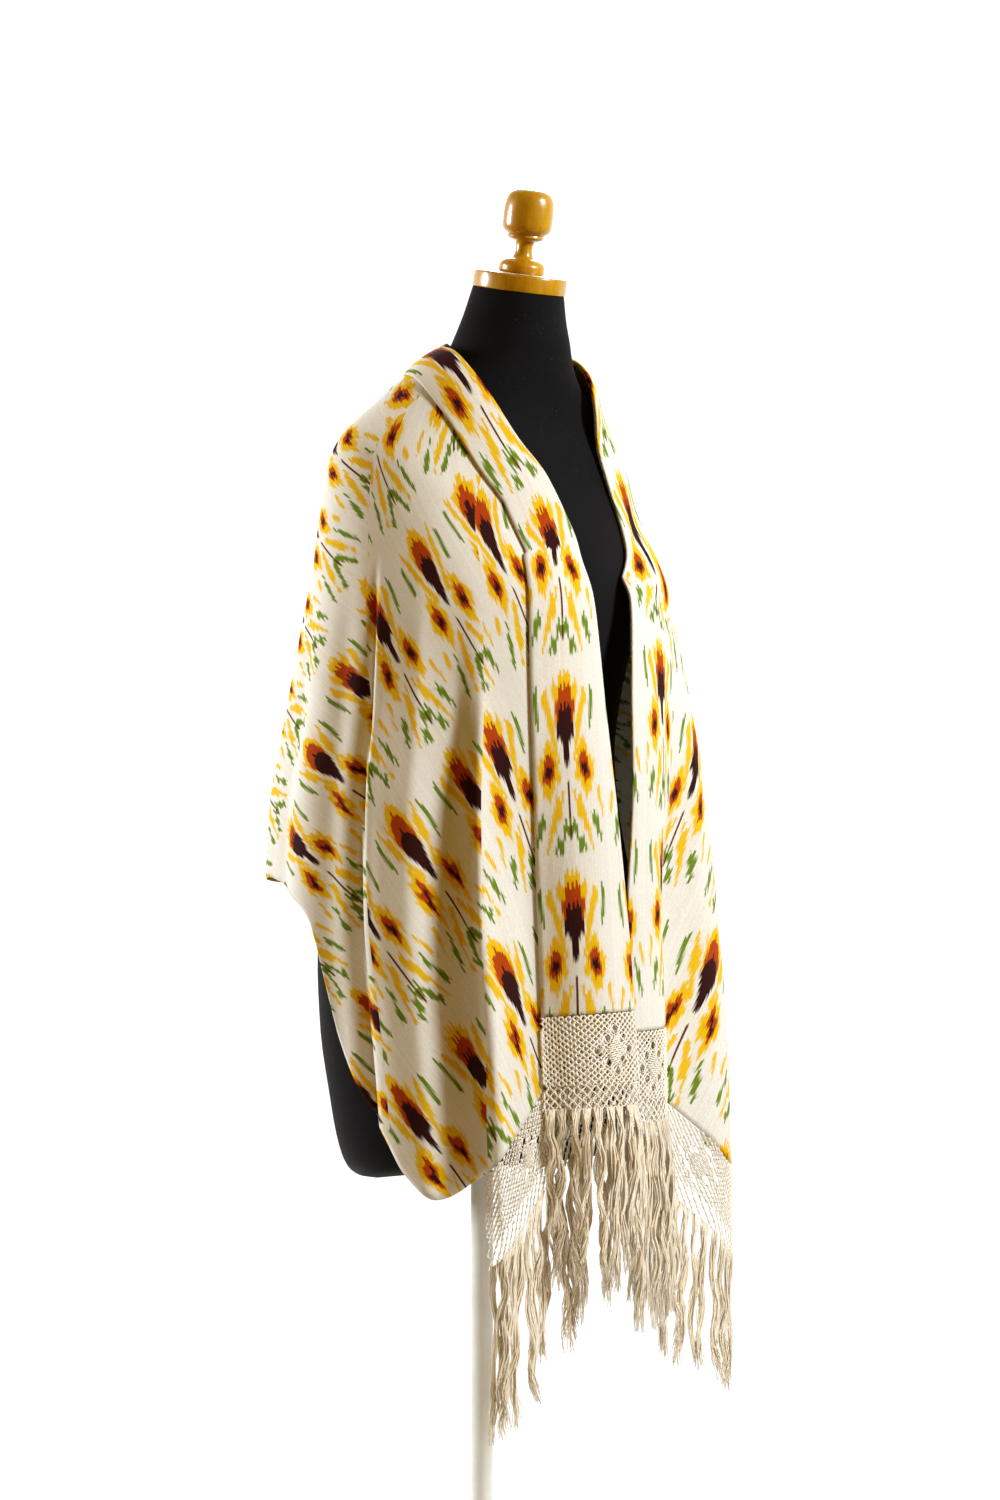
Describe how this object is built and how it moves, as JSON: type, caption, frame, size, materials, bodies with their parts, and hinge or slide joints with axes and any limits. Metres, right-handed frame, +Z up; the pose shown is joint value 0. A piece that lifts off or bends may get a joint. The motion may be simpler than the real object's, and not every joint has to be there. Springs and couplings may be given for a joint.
{
  "type": "shawl on a limbless dress form",
  "caption": "Long cream ikat shawl with knotted net ends and tassels, worn over a limbless black jersey dress form with a wooden cap and finial.",
  "frame": {"origin": "centre of the underside of the stand's base, on the floor", "axes": "+Z up along the pole; the dress form faces -Y, its right shoulder is at -X"},
  "size_m": [0.4982, 0.3883, 1.4426],
  "materials": {
    "cloth": "matt plain weave, warp-dyed pattern",
    "net": "matt knotted warp",
    "tassel": "matt twisted warp",
    "jersey": "matt knit",
    "varnished_wood": "glossy varnish",
    "white_enamel": "satin enamel"
  },
  "bodies": {
    "root": {"drape_right": "cloth", "drape_left": "cloth", "drape_back": "cloth", "lapel_right": "cloth", "lapel_left": "cloth", "lapel_back": "cloth", "net_drape_right": "net", "net_drape_left": "net", "net_lapel_right": "net", "net_lapel_left": "net", "tassels_drape_right": "tassel", "tassels_drape_left": "tassel", "tassels_lapel_right": "tassel", "tassels_lapel_left": "tassel", "dress_form": "jersey", "neck_cap": "varnished_wood", "finial": "varnished_wood", "stand_pole": "white_enamel", "stand_base": "white_enamel"}
  },
  "joints": []
}
